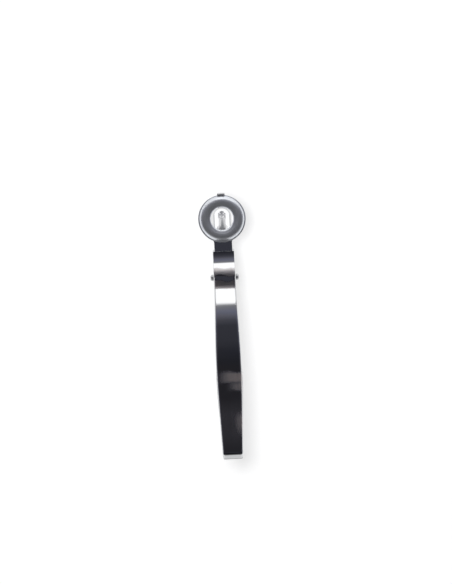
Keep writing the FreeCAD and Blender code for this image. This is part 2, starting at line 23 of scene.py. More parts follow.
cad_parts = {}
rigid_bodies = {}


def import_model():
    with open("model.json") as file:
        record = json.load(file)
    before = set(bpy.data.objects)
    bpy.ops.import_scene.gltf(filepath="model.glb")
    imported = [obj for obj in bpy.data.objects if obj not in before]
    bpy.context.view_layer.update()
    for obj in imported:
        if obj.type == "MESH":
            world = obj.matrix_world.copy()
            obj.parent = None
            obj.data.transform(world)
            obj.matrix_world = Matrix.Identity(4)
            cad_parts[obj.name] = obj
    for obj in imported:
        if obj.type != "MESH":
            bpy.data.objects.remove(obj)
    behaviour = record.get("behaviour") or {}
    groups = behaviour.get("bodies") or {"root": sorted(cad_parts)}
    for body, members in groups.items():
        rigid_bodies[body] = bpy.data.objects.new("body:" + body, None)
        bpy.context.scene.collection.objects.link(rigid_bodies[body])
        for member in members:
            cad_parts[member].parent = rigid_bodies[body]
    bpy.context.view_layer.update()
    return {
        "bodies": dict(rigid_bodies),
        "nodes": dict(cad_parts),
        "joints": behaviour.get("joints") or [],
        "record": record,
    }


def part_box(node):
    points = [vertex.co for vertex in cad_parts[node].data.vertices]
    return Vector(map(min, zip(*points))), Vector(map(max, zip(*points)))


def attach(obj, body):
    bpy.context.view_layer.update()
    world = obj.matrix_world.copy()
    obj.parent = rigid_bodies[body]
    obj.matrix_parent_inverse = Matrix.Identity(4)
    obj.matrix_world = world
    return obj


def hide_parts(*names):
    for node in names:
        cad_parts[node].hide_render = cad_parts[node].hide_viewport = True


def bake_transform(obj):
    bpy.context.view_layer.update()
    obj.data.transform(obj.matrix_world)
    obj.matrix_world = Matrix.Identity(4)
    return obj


LOG = logging.getLogger("olive_pitter")
MM = 0.001
RING_SIDE = "ring_side"
PUNCH_SIDE = "punch_side"
BEVEL_WEIGHT = "bevel_weight_edge"
SAME_POINT = 0.001 * MM
ON_AXIS = 1e-6 * MM
ALONG_RIVET = Vector((1.0, 0.0, 0.0))
FORWARD = Vector((0.0, 1.0, 0.0))
UP = Vector((0.0, 0.0, 1.0))
Colour = tuple[float, float, float]
WHITE = (1.0, 1.0, 1.0, 1.0)


class Grain(Enum):
    """Which way the fine lines of a steel surface run."""

    ALONG_HANDLE = "polished along the handle"
    ROUND_AXIS = "turned or spun round the piece's axis"
    ALONG_AXIS = "drawn along the piece's axis"
    NONE = "tumbled, with no direction"


@dataclass(frozen=True)
class Pattern:
    """One noise pattern.

    Attributes:
        detail: Octaves of finer detail.
        seed: Shift that makes it differ from the others.
    """

    detail: float
    seed: float


SMUDGES = Pattern(detail=5.0, seed=3.1)
WIPES = Pattern(detail=3.0, seed=7.7)
WANDER = Pattern(detail=0.5, seed=5.3)
WAVES = Pattern(detail=1.0, seed=11.3)
FINE_LINES = Pattern(detail=2.0, seed=5.9)
SCRATCHES = Pattern(detail=0.0, seed=2.3)
CEILING_PATCHES = Pattern(detail=2.0, seed=4.4)
# How the wiped streaks and the blotches break up a dull patch: part of their noise, and the share left of the
# patch at its low end.
STREAK_RANGE = (0.35, 0.65)
STREAK_FLOOR = 0.75
BLOTCH_RANGE = (0.3, 0.7)
BLOTCH_FLOOR = 0.8


@dataclass(frozen=True)
class Lie:
    """Where a piece's axis lies in the tool.

    Attributes:
        centre: A point on the axis.
        axis: The axis's unit direction.
    """

    centre: Vector
    axis: Vector

    def upright(self) -> Matrix:
        """Gives the matrix that takes a piece drawn about Z at the origin to its place."""
        turn = UP.rotation_difference(self.axis).to_matrix().to_4x4()
        return Matrix.Translation(self.centre) @ turn


class ShaderBench:
    """Adds nodes to a node tree and links them."""

    def __init__(self, tree: bpy.types.NodeTree) -> None:
        """Starts work on a tree."""
        self.tree = tree

    def feed(self, socket: bpy.types.NodeSocket, value: object) -> None:
        """Links a socket to an output, or sets it to a plain value.

        Args:
            socket: The input to fill.
            value: An output socket, or a number, vector or colour.
        """
        if isinstance(value, bpy.types.NodeSocket):
            self.tree.links.new(value, socket)
        else:
            socket.default_value = value

    def node(self, kind: str, inputs: dict[str, object] | None = None, **settings: object) -> bpy.types.Node:
        """Adds one node.

        Args:
            kind: The node's Blender type.
            inputs: Values or outputs for its named inputs.
            **settings: Properties of the node.

        Returns:
            The new node.
        """
        made = self.tree.nodes.new(kind)
        for name, value in settings.items():
            setattr(made, name, value)
        for name, value in (inputs or {}).items():
            self.feed(made.inputs[name], value)
        return made

    def math(self, operation: str, *values: object) -> bpy.types.NodeSocket:
        """Adds a Math node and returns its result.

        Args:
            operation: The Math node's operation.
            *values: Its inputs in order.

        Returns:
            The value output.
        """
        made = self.node("ShaderNodeMath", operation=operation)
        for socket, value in zip(made.inputs, values):
            self.feed(socket, value)
        return made.outputs["Value"]

    def vector(self, operation: str, *values: object) -> bpy.types.Node:
        """Adds a Vector Math node.

        Args:
            operation: The node's operation.
            *values: Its inputs in order.

        Returns:
            The node, whose Vector or Value output is the result.
        """
        made = self.node("ShaderNodeVectorMath", operation=operation)
        for socket, value in zip(made.inputs, values):
            self.feed(socket, value)
        return made

    def scaled(self, vector: object, factor: object) -> bpy.types.NodeSocket:
        """Adds a Vector Math node that scales a vector or colour.

        Args:
            vector: The vector, colour or output to scale.
            factor: The number or output to scale it by.

        Returns:
            The scaled vector.
        """
        made = self.node("ShaderNodeVectorMath", {"Scale": factor}, operation="SCALE")
        self.feed(made.inputs[0], vector)
        return made.outputs["Vector"]

    def noise(self, at: bpy.types.NodeSocket, scale: float, pattern: Pattern) -> bpy.types.NodeSocket:
        """Adds a noise.

        Args:
            at: The point where the noise is read.
            scale: Features per unit of that point.
            pattern: The noise's pattern.

        Returns:
            The noise's value, about 0.5 in the mean.
        """
        seed = pattern.seed
        shifted = self.vector("ADD", at, (seed, -seed, 0.5 * seed)).outputs["Vector"]
        inputs = {"Vector": shifted, "Scale": scale, "Detail": pattern.detail}
        return self.node("ShaderNodeTexNoise", inputs).outputs["Fac"]

    def spread(self, value: bpy.types.NodeSocket, low: float, high: float, to_low: float,
               to_high: float) -> bpy.types.NodeSocket:
        """Maps one range of a value smoothly onto another.

        Args:
            value: The value to map.
            low: Start of its range.
            high: End of its range.
            to_low: Result at the start.
            to_high: Result at the end.

        Returns:
            The mapped value.
        """
        inputs = {"Value": value, "From Min": low, "From Max": high, "To Min": to_low, "To Max": to_high}
        return self.node("ShaderNodeMapRange", inputs, interpolation_type="SMOOTHSTEP").outputs["Result"]

    def mix(self, share: bpy.types.NodeSocket, first: object, second: object) -> bpy.types.NodeSocket:
        """Mixes two colours.

        Args:
            share: Share of the second colour.
            first: The first colour or output.
            second: The second one.

        Returns:
            The mixed colour.
        """
        inputs = {"Factor": share, "A": first, "B": second}
        return self.node("ShaderNodeMix", inputs, data_type="RGBA").outputs["Result"]

    def ramp(self, value: bpy.types.NodeSocket,
             stops: Sequence[tuple[float, Colour]]) -> bpy.types.NodeSocket:
        """Colours a value by a row of stops.

        Args:
            value: The value, from 0 to 1.
            stops: Place and colour of each stop.

        Returns:
            The colour output.
        """
        made = self.node("ShaderNodeValToRGB", {"Fac": value})
        elements = made.color_ramp.elements
        while len(elements) < len(stops):
            elements.new(1.0)
        for element, (place, colour) in zip(elements, stops):
            element.position = place
            element.color = (*colour, 1.0)
        return made.outputs["Color"]


@dataclass(frozen=True)
class DullAndSheenPatch:
    """A dull patch across a lever, rougher and in the finish's dull colour. Where that colour is lighter and
    warmer than the clean steel, the patch is partly a painted reflection.

    Attributes:
        distance: Distance of its middle behind the rivet.
        half_length: Half its length along the handle.
        left_side: Place of its left side across the handle, where it is half as strong.
        strength: How dull it is, from 0 to 1.
        core: Share of its length with full strength.
    """

    distance: float
    half_length: float
    left_side: float
    strength: float
    core: float = 0.3


@dataclass(frozen=True)
class SteelFinish:
    """One kind of steel surface on the tool.

    Attributes:
        name: The material's name.
        bright: Colour where the steel is clean.
        dull: Colour where the steel is dulled. Where it is lighter and warmer than the clean colour, it is
            partly painted reflection.
        metallic: Share of mirror, of which satin steel has less.
        roughness: Roughness where it is clean.
        dull_roughness: Roughness where it has been handled.
        smudge_size: Size of the handled patches.
        grain: Which way the fine lines run.
        line_pitch: Distance between the lines.
        line_length: Length of a line.
        line_rise: How much faster polished lines change upward than along the handle.
        line_depth: Depth of the lines.
        wave_size: Size of the shallow waves that pressing leaves in the sheet.
        wave_depth: Depth of those waves.
        scratch_depth: Depth of the stray hairline scratches.
        scratch_width: Width of the rows that they lie in.
        scratch_length: Length of a scratch.
        scratch_turn: Turn of the scratches from the handle's length.
        scratch_range: Part of their noise over which a scratch's side falls.
        wipe_scale: How often the wiped streaks change from line to line.
        wipe_share: Share of the wiped streaks in the mottling, of which the smudges are the rest.
        handled_range: Part of the mottling over which clean steel turns into handled steel.
        marks: Places on the top that are dulled, partly as painted reflection where the dull colour is
            lighter. With none, the whole piece is mottled.
        mark_wobble: How far the marks' ends wander.
        mark_wander: Size of that wandering.
        mark_fade: Half the width over which a mark's left side fades.
        mark_facing: Upward part of the normal over which the marks set in.
    """

    name: str
    bright: Colour = (0.66, 0.665, 0.675)
    dull: Colour = (0.60, 0.605, 0.61)
    metallic: float = 1.0
    roughness: float = 0.05
    dull_roughness: float = 0.12
    smudge_size: float = 14 * MM
    grain: Grain = Grain.ALONG_HANDLE
    line_pitch: float = 0.35 * MM
    line_length: float = 24 * MM
    line_rise: float = 3.0
    line_depth: float = 0.0007 * MM
    wave_size: float = 17 * MM
    wave_depth: float = 0.02 * MM
    scratch_depth: float = 0.0006 * MM
    scratch_width: float = 0.5 * MM
    scratch_length: float = 9 * MM
    scratch_turn: float = math.radians(31)
    scratch_range: tuple[float, float] = (0.70, 0.76)
    wipe_scale: float = 0.35
    wipe_share: float = 0.3
    handled_range: tuple[float, float] = (0.38, 0.66)
    marks: tuple[DullAndSheenPatch, ...] = ()
    mark_wobble: float = 3.5 * MM
    mark_wander: float = 7 * MM
    mark_fade: float = 4.5 * MM
    mark_facing: tuple[float, float] = (0.4, 0.9)

    def material(self, lie: Lie) -> bpy.types.Material:
        """Makes the finish's material.

        Args:
            lie: The axis that turned, spun and drawn lines follow.

        Returns:
            The new material.
        """
        made = bpy.data.materials.new(self.name)
        made.use_nodes = True
        bench = ShaderBench(made.node_tree)
        steel = made.node_tree.nodes["Principled BSDF"]
        steel.inputs["Metallic"].default_value = self.metallic
        place = bench.node("ShaderNodeTexCoord").outputs["Object"]
        smudge = bench.noise(place, 1 / self.smudge_size, SMUDGES)
        wiped = bench.noise(self._line_place(bench, place, lie), self.wipe_scale, WIPES)
        # Marked finishes dull only their patches, which are partly painted reflection; unmarked ones are
        # mottled all over like handled steel.
        if self.marks:
            dulled_and_sheen = self._dull_and_sheen_patches(bench, place, lie, smudge, wiped)
        else:
            mottling = bench.math("ADD", bench.math("MULTIPLY", smudge, 1 - self.wipe_share),
                                  bench.math("MULTIPLY", wiped, self.wipe_share))
            dulled_and_sheen = bench.spread(mottling, *self.handled_range, 0.0, 1.0)
        bench.feed(steel.inputs["Base Color"], bench.ramp(dulled_and_sheen, [(0.0, self.bright), (1.0, self.dull)]))
        rise = self.dull_roughness - self.roughness
        bench.feed(steel.inputs["Roughness"],
                   bench.math("MULTIPLY_ADD", bench.math("SQRT", dulled_and_sheen), rise, self.roughness))
        bench.feed(steel.inputs["Normal"], self._relief(bench, place, lie))
        return made

    def _dull_and_sheen_patches(self, bench: ShaderBench, place: bpy.types.NodeSocket, lie: Lie,
                 smudge: bpy.types.NodeSocket, wiped: bpy.types.NodeSocket) -> bpy.types.NodeSocket:
        """Limits the dulled steel to the patches across the lever. They are rougher, and where the dull
        colour is lighter and warmer they are partly painted reflection.

        Args:
            bench: The material's node bench.
            place: The surface point.
            lie: The rivet's axis.
            smudge: The smooth mottling of handled steel.
            wiped: The streaks along the fine lines.

        Returns:
            The share of dulled steel, painted reflection included.
        """
        parts = bench.node("ShaderNodeSeparateXYZ", {"Vector": place}).outputs
        wander = bench.math("SUBTRACT", bench.noise(place, 1 / self.mark_wander, WANDER), 0.5)
        behind = bench.math("ADD", bench.math("SUBTRACT", lie.centre.y, parts["Y"]),
                            bench.math("MULTIPLY", wander, self.mark_wobble))
        share: object = 0.0
        for mark in self.marks:
            off = bench.math("ABSOLUTE", bench.math("SUBTRACT", behind, mark.distance))
            lengthwise = bench.spread(off, mark.half_length * mark.core, mark.half_length, mark.strength, 0.0)
            start, end = mark.left_side - self.mark_fade, mark.left_side + self.mark_fade
            sideways = bench.spread(parts["X"], start, end, 0.0, 1.0)
            share = bench.math("MAXIMUM", share, bench.math("MULTIPLY", lengthwise, sideways))
        normal = bench.node("ShaderNodeTexCoord").outputs["Normal"]
        facing = bench.node("ShaderNodeSeparateXYZ", {"Vector": normal}).outputs["Z"]
        share = bench.math("MULTIPLY", share, bench.spread(facing, *self.mark_facing, 0.0, 1.0))
        streaked = bench.math("MULTIPLY", bench.spread(wiped, *STREAK_RANGE, STREAK_FLOOR, 1.0),
                              bench.spread(smudge, *BLOTCH_RANGE, BLOTCH_FLOOR, 1.0))
        return bench.math("MULTIPLY", share, streaked)

    def _line_place(self, bench: ShaderBench, place: bpy.types.NodeSocket, lie: Lie) -> bpy.types.NodeSocket:
        """Gives coordinates that change by 1 from one fine line to the next.

        Args:
            bench: The material's node bench.
            place: The surface point.
            lie: The piece's axis.

        Returns:
            The coordinates.
        """
        across, along = 1 / self.line_pitch, 1 / self.line_length
        if self.grain is Grain.ALONG_HANDLE:
            return bench.vector("MULTIPLY", place, (across, along, self.line_rise * along)).outputs["Vector"]
        if self.grain is Grain.NONE:
            return bench.vector("MULTIPLY", place, (across, across, across)).outputs["Vector"]
        arm = bench.vector("SUBTRACT", place, tuple(lie.centre)).outputs["Vector"]
        height = bench.vector("DOT_PRODUCT", arm, tuple(lie.axis)).outputs["Value"]
        if self.grain is Grain.ALONG_AXIS:
            shortened = bench.scaled(tuple(lie.axis), bench.math("MULTIPLY", height, along - across))
            return bench.vector("ADD", bench.scaled(arm, across), shortened).outputs["Vector"]
        reach = bench.vector("LENGTH", arm).outputs["Value"]
        square = bench.math("SUBTRACT", bench.math("MULTIPLY", reach, reach),
                            bench.math("MULTIPLY", height, height))
        radius = bench.math("SQRT", bench.math("MAXIMUM", square, 0.0))
        inputs = {"X": bench.math("MULTIPLY", radius, across), "Z": bench.math("MULTIPLY", height, across)}
        return bench.node("ShaderNodeCombineXYZ", inputs).outputs["Vector"]

    def _relief(self, bench: ShaderBench, place: bpy.types.NodeSocket, lie: Lie) -> bpy.types.NodeSocket:
        """Stacks the waves, the fine lines and the stray scratches into one normal.

        Args:
            bench: The material's node bench.
            place: The surface point.
            lie: The piece's axis.

        Returns:
            The normal.
        """
        waves = bench.noise(place, 1 / self.wave_size, WAVES)
        lines = bench.noise(self._line_place(bench, place, lie), 1.0, FINE_LINES)
        turned = bench.node("ShaderNodeVectorRotate", {"Vector": place, "Angle": self.scratch_turn},
                            rotation_type="Z_AXIS").outputs["Vector"]
        across, along = 1 / self.scratch_width, 1 / self.scratch_length
        stray = bench.vector("MULTIPLY", turned, (across, along, along)).outputs["Vector"]
        scratch = bench.spread(bench.noise(stray, 1.0, SCRATCHES), *self.scratch_range, 1.0, 0.0)
        layers = ((waves, self.wave_depth), (lines, self.line_depth), (scratch, self.scratch_depth))
        normal = None
        for height, depth in layers:
            bump = bench.node("ShaderNodeBump", {"Height": height, "Distance": depth, "Strength": 1.0})
            if normal is not None:
                bench.feed(bump.inputs["Normal"], normal)
            normal = bump.outputs["Normal"]
        return normal


# The ring lever's one patch roughens the tab at the front of the ring and darkens its colour a little.
POLISHED_SHEET = SteelFinish(
    "polished_lever_sheet", dull_roughness=0.60,
    marks=(DullAndSheenPatch(-51 * MM, 2.5 * MM, -12 * MM, 0.8, core=0.8),))
# The punch lever's patches, over the rivet and along the handle, are rougher, lighter and warmer than its
# clean steel: partly handling, partly painted reflection.
HANDLE_SHEEN_SHEET = SteelFinish(
    "handle_sheen_lever_sheet", dull=(0.73, 0.64, 0.60), dull_roughness=0.60,
    marks=(DullAndSheenPatch(-3.0 * MM, 2.8 * MM, -15 * MM, 0.45, core=0.5),
           DullAndSheenPatch(4.6 * MM, 3.2 * MM, -15 * MM, 0.60, core=0.5),
           DullAndSheenPatch(61.2 * MM, 4.4 * MM, -4.0 * MM, 1.0, core=0.35),
           DullAndSheenPatch(66.9 * MM, 3.6 * MM, 1.5 * MM, 0.75),
           DullAndSheenPatch(88.5 * MM, 10 * MM, 4.0 * MM, 0.95, core=0.2),
           DullAndSheenPatch(89.0 * MM, 16 * MM, -15 * MM, 0.13)))
POLISHED_CUP = SteelFinish(
    "spun_cup_sheet", bright=(0.79, 0.815, 0.86), dull=(0.72, 0.74, 0.78), metallic=0.92, roughness=0.35,
    dull_roughness=0.43, smudge_size=6 * MM, grain=Grain.ROUND_AXIS, line_pitch=0.3 * MM,
    wave_size=7 * MM, wave_depth=0.012 * MM)
TURNED_ROD = SteelFinish(
    "turned_punch_rod", bright=(0.76, 0.76, 0.77), dull=(0.68, 0.68, 0.69), metallic=0.85, roughness=0.36,
    dull_roughness=0.44, smudge_size=3 * MM, grain=Grain.ROUND_AXIS, line_pitch=0.2 * MM,
    line_depth=0.0016 * MM, wave_size=6 * MM, wave_depth=0.002 * MM)
RIVET_HEAD = SteelFinish(
    "tumbled_rivet_heads", bright=(0.66, 0.665, 0.67), metallic=0.9, roughness=0.40, dull_roughness=0.50,
    smudge_size=2 * MM, grain=Grain.NONE, line_pitch=0.5 * MM, line_depth=0.0012 * MM,
    wave_size=2 * MM, wave_depth=0.004 * MM)
DRAWN_TUBE = SteelFinish(
    "drawn_sleeve_tube", bright=(0.58, 0.585, 0.59), dull=(0.5, 0.5, 0.505), roughness=0.3,
    dull_roughness=0.4, smudge_size=3 * MM, grain=Grain.ALONG_AXIS, line_pitch=0.15 * MM,
    line_length=4 * MM, wave_size=4 * MM, wave_depth=0.001 * MM)
SPRING_WIRE = SteelFinish(
    "drawn_spring_wire", bright=(0.52, 0.52, 0.53), dull=(0.43, 0.43, 0.44), roughness=0.22,
    dull_roughness=0.36, smudge_size=2.5 * MM, grain=Grain.NONE, line_pitch=0.25 * MM,
    line_depth=0.0015 * MM, wave_size=4 * MM, wave_depth=0.001 * MM)


@dataclass(frozen=True)
class Corner:
    """One corner of the section of a turned or pressed piece.

    Attributes:
        radius: Distance from the axis.
        height: Height along the axis.
        rounding: Radius that rounds the corner.
    """

    radius: float
    height: float
    rounding: float = 0.0

    def point(self) -> Vector:
        """Gives the corner as a point of the section's plane."""
        return Vector((self.radius, self.height))


@dataclass(frozen=True)
class Section:
    """The section of a round piece, drawn with its outside on the left of the way along it.

    Attributes:
        corners: The corners in order. An open section starts and ends on the axis.
        closed: Whether the section is a loop, as of a ring or tube.
        arc_step: Largest turn between two points of a rounding.
    """

    corners: Sequence[Corner]
    closed: bool
    arc_step: float = math.radians(7.5)

    def outline(self) -> list[tuple[Vector, Vector]]:
        """Rounds the corners.

        Returns:
            Each point of the outline with its outward normal.
        """
        traced: list[tuple[Vector, Vector]] = []
        count = len(self.corners)
        for index, corner in enumerate(self.corners):
            if not self.closed and index in (0, count - 1):
                traced.append((corner.point(), Vector((0.0, math.copysign(1.0, corner.height)))))
                continue
            before = self.corners[index - 1].point()
            after = self.corners[(index + 1) % count].point()
            traced += self._rounded(before, corner, after)
        return traced

    def _rounded(self, before: Vector, corner: Corner, after: Vector) -> list[tuple[Vector, Vector]]:
        """Traces the arc that rounds one corner.

        Args:
            before: The point before the corner.
            corner: The corner.
            after: The point after it.

        Returns:
            Points of the arc with their outward normals.
        """
        tip = corner.point()
        back, ahead = (before - tip).normalized(), (after - tip).normalized()
        half = back.angle(ahead) / 2
        centre = tip + (back + ahead).normalized() * (corner.rounding / math.sin(half))
        start = tip + back * (corner.rounding / math.tan(half)) - centre
        turn = math.pi - 2 * half
        swing = math.copysign(turn, back.y * ahead.x - back.x * ahead.y)
        outward = -math.copysign(1.0, swing)
        steps = max(1, math.ceil(turn / self.arc_step))
        traced = []
        for step in range(steps + 1):
            angle = swing * step / steps
            arm = Vector((start.x * math.cos(angle) - start.y * math.sin(angle),
                          start.x * math.sin(angle) + start.y * math.cos(angle)))
            traced.append((centre + arm, arm.normalized() * outward))
        return traced


def place_in_tool(piece: bpy.types.Object, body: str, node: str) -> None:
    """Hands a finished piece to the body that carries it, in place of its solid.

    Args:
        piece: The dressed object.
        body: The body that it moves with.
        node: The solid that it stands for.
    """
    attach(piece, body)
    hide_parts(node)
    LOG.info("%s: %d faces in place of %s on %s", piece.name, len(piece.data.polygons), node, body)


def new_object(name: str, mesh: bpy.types.Mesh, material: bpy.types.Material) -> bpy.types.Object:
    """Links a mesh to the scene as an object with its material.

    Args:
        name: The object's name.
        mesh: Its mesh.
        material: Its material.

    Returns:
        The new object.
    """
    mesh.materials.append(material)
    made = bpy.data.objects.new(name, mesh)
    bpy.context.scene.collection.objects.link(made)
    return made


def revolve(name: str, section: Section, lie: Lie, segments: int,
            material: bpy.types.Material) -> bpy.types.Object:
    """Turns a section about its axis, with exact normals.

    Args:
        name: The object's name.
        section: The section to turn.
        lie: The axis in the tool.
        segments: Steps round the axis.
        material: The piece's material.

    Returns:
        The new object.
    """
    outline = section.outline()
    place = lie.upright()
    build = bmesh.new()
    normals: list[Vector] = []
    rings: list[list[bmesh.types.BMVert]] = []
    for point, normal in outline:
        on_axis = point.x < ON_AXIS
        ring = []
        for segment in range(1 if on_axis else segments):
            angle = math.tau * segment / segments
            c, s = math.cos(angle), math.sin(angle)
            ring.append(build.verts.new(place @ Vector((point.x * c, point.x * s, point.y))))
            normals.append(place.to_3x3() @ Vector((normal.x * c, normal.x * s, normal.y)))
        rings.append(ring)
    follow = rings[1:] + rings[:1] if section.closed else rings[1:]
    for ring, after in zip(rings, follow):
        for segment in range(segments):
            beside = (segment + 1) % segments
            loop = [ring[segment % len(ring)], ring[beside % len(ring)],
                    after[beside % len(after)], after[segment % len(after)]]
            build.faces.new(list(dict.fromkeys(loop)))
    bmesh.ops.recalc_face_normals(build, faces=build.faces)
    for face in build.faces:
        face.smooth = True
    mesh = bpy.data.meshes.new(name)
    build.to_mesh(mesh)
    build.free()
    mesh.normals_split_custom_set_from_vertices([tuple(normal) for normal in normals])
    return new_object(name, mesh, material)


def welded_copy(solid: bpy.types.Object) -> bmesh.types.BMesh:
    """Copies a solid's mesh with its faces joined and smooth.

    Args:
        solid: The solid.

    Returns:
        The new mesh, to be freed by the caller.
    """
    build = bmesh.new()
    build.from_mesh(solid.data)
    bmesh.ops.remove_doubles(build, verts=build.verts, dist=SAME_POINT)
    for face in build.faces:
        face.smooth = True
    for edge in build.edges:
        edge.smooth = True
    return build


@dataclass(frozen=True)
class TumbledEdges:
    """The small rounding that tumbling leaves on sharp edges, where the faces beside them have room for it.

    Attributes:
        width: Width of the bevel.
        angle: Smallest angle between faces that counts as an edge.
        facets: Facets across the bevel.
        rounds: Most times that edges without room are looked for.
        reach: Distance from a folded face, in widths of the bevel, within which edges stay sharp.
        folded: Cosine between a face and the surface before, below which the face has folded over.
        smallest_face: Area under which a face isn't looked at.
        joined: Distance within which corners of the bevel are joined.
        flatness: How much the large faces lead the shading, in per cent.
    """

    width: float
    angle: float
    facets: int = 2
    rounds: int = 10
    reach: float = 1.8
    folded: float = -0.2
    smallest_face: float = 1e-6 * MM * MM
    joined: float = 0.0005 * MM
    flatness: int = 80

    def soften(self, piece: bpy.types.Object) -> None:
        """Bevels a piece's sharp edges where there is room, and keeps its faces flat in their shading.

        Args:
            piece: The object.
        """
        bevel = piece.modifiers.new("tumbled_edges", "BEVEL")
        bevel.width = self.width
        bevel.segments = self.facets
        bevel.limit_method = "WEIGHT"
        bevel.use_clamp_overlap = False
        bevel.loop_slide = False
        bevel.harden_normals = True
        self._weigh_edges(piece)
        weld = piece.modifiers.new("joined_bevel_ends", "WELD")
        weld.merge_threshold = self.joined
        weighted = piece.modifiers.new("flat_faces", "WEIGHTED_NORMAL")
        weighted.keep_sharp = True
        weighted.weight = self.flatness

    def _weigh_edges(self, piece: bpy.types.Object) -> None:
        """Chooses the edges that the bevel rounds and marks the others as sharp.

        Args:
            piece: The object with its bevel.
        """
        mesh = piece.data
        base = bmesh.new()
        base.from_mesh(mesh)
        surface = BVHTree.FromBMesh(base)
        sharp = {edge.index: [vertex.co.copy() for vertex in edge.verts] for edge in base.edges
                 if edge.calc_face_angle(0.0) > self.angle}
        base.free()
        mesh.attributes.new(BEVEL_WEIGHT, "FLOAT", "EDGE")
        roomy = set(sharp)
        for _ in range(self.rounds):
            weights = [float(index in roomy) for index in range(len(mesh.edges))]
            mesh.attributes[BEVEL_WEIGHT].data.foreach_set("value", weights)
            mesh.update()
            corners = self._folded_corners(piece, surface)
            if not corners:
                break
            tree = KDTree(len(corners))
            for index, corner in enumerate(corners):
                tree.insert(corner, index)
            tree.balance()
            roomy = {index for index in roomy
                     if min(tree.find(end)[2] for end in sharp[index]) > self.reach * self.width}
        for index in sharp:
            mesh.edges[index].use_edge_sharp = index not in roomy
        LOG.info("%s: %d of %d sharp edges softened", piece.name, len(roomy), len(sharp))

    def _folded_corners(self, piece: bpy.types.Object, surface: BVHTree) -> list[Vector]:
        """Finds where a piece's bevel has folded faces over.

        Args:
            piece: The object with its bevel.
            surface: The faces that it had before.

        Returns:
            The corners of the faces that look into the piece.
        """
        shown = piece.evaluated_get(bpy.context.evaluated_depsgraph_get())
        build = bmesh.new()
        build.from_mesh(shown.to_mesh())
        shown.to_mesh_clear()
        bmesh.ops.triangulate(build, faces=build.faces)
        corners = []
        for face in build.faces:
            if face.calc_area() > self.smallest_face:
                outward = surface.find_nearest(face.calc_center_median())[1]
                if face.normal.dot(outward) < self.folded:
                    corners += [vertex.co.copy() for vertex in face.verts]
        build.free()
        return corners


@dataclass
class FoldedLever:
    """One lever of folded, polished sheet.

    Attributes:
        node: The lever's solid.
        body: The body that it belongs to.
        sheet: Thickness of the sheet.
        tumbling: The rounding of its edges.
        flat_angle: Largest angle between faces that count as one.
        probe_depth: Depth under a face, in sheets, from which its thickness is looked for.
        cut_depth: Thickness seen inward from a face, in sheets, above which it lies along a cut.
    """

    node: str
    body: str
    sheet: float = 1.2 * MM
    tumbling: TumbledEdges = TumbledEdges(width=0.08 * MM, angle=math.radians(35))
    flat_angle: float = math.radians(0.5)
    probe_depth: float = 0.01
    cut_depth: float = 1.35

    def build(self, frame: dict, material: bpy.types.Material) -> bpy.types.Object:
        """Makes the lever from its solid.

        Args:
            frame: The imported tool.
            material: The sheet's material.

        Returns:
            The dressed lever.
        """
        mesh = self._sheet_mesh(frame["nodes"][self.node])
        lever = new_object(f"{self.node}_sheet", mesh, material)
        self.tumbling.soften(lever)
        place_in_tool(lever, self.body, self.node)
        return lever

    def _sheet_mesh(self, solid: bpy.types.Object) -> bpy.types.Mesh:
        """Copies the solid's mesh and joins its flat faces, those along a cut apart from the sheet's sides.

        Args:
            solid: The lever's solid.

        Returns:
            The lever's own mesh.
        """
        build = welded_copy(solid)
        tree = BVHTree.FromBMesh(build)
        for face in build.faces:
            start = face.calc_center_median() - face.normal * (self.probe_depth * self.sheet)
            depth = tree.ray_cast(start, -face.normal)[3]
            face.material_index = int(depth is None or depth > self.cut_depth * self.sheet)
        bmesh.ops.dissolve_limit(build, angle_limit=self.flat_angle, verts=build.verts, edges=build.edges,
                                 delimit={"MATERIAL"})
        for face in build.faces:
            face.material_index = 0
        mesh = bpy.data.meshes.new(f"{self.node}_sheet")
        build.to_mesh(mesh)
        build.free()
        return mesh


@dataclass
class TurnedPunch:
    """The rod that drives out the stone, with its collar, tail and notched biting end.

    Attributes:
        node: The punch's solid.
        tumbling: The rounding of its edges.
    """

    node: str = "punch"
    tumbling: TumbledEdges = TumbledEdges(width=0.06 * MM, angle=math.radians(30))

    def lie(self, frame: dict) -> Lie:
        """Finds the rod's axis, which leans forward by the joint's travel and stands upright at full squeeze.

        Args:
            frame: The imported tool.

        Returns:
            The axis.
        """
        lean = math.radians(frame["joints"][0]["range_deg"][1])
        low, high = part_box(self.node)
        return Lie((low + high) / 2, Vector((0.0, math.sin(lean), math.cos(lean))))

    def build(self, frame: dict, material: bpy.types.Material) -> bpy.types.Object:
        """Makes the punch from its solid.

        Args:
            frame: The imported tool.
            material: The rod's material.

        Returns:
            The dressed punch.
        """
        build = welded_copy(frame["nodes"][self.node])
        mesh = bpy.data.meshes.new("punch_rod")
        build.to_mesh(mesh)
        build.free()
        rod = new_object("punch_rod", mesh, material)
        self.tumbling.soften(rod)
        place_in_tool(rod, PUNCH_SIDE, self.node)
        return rod


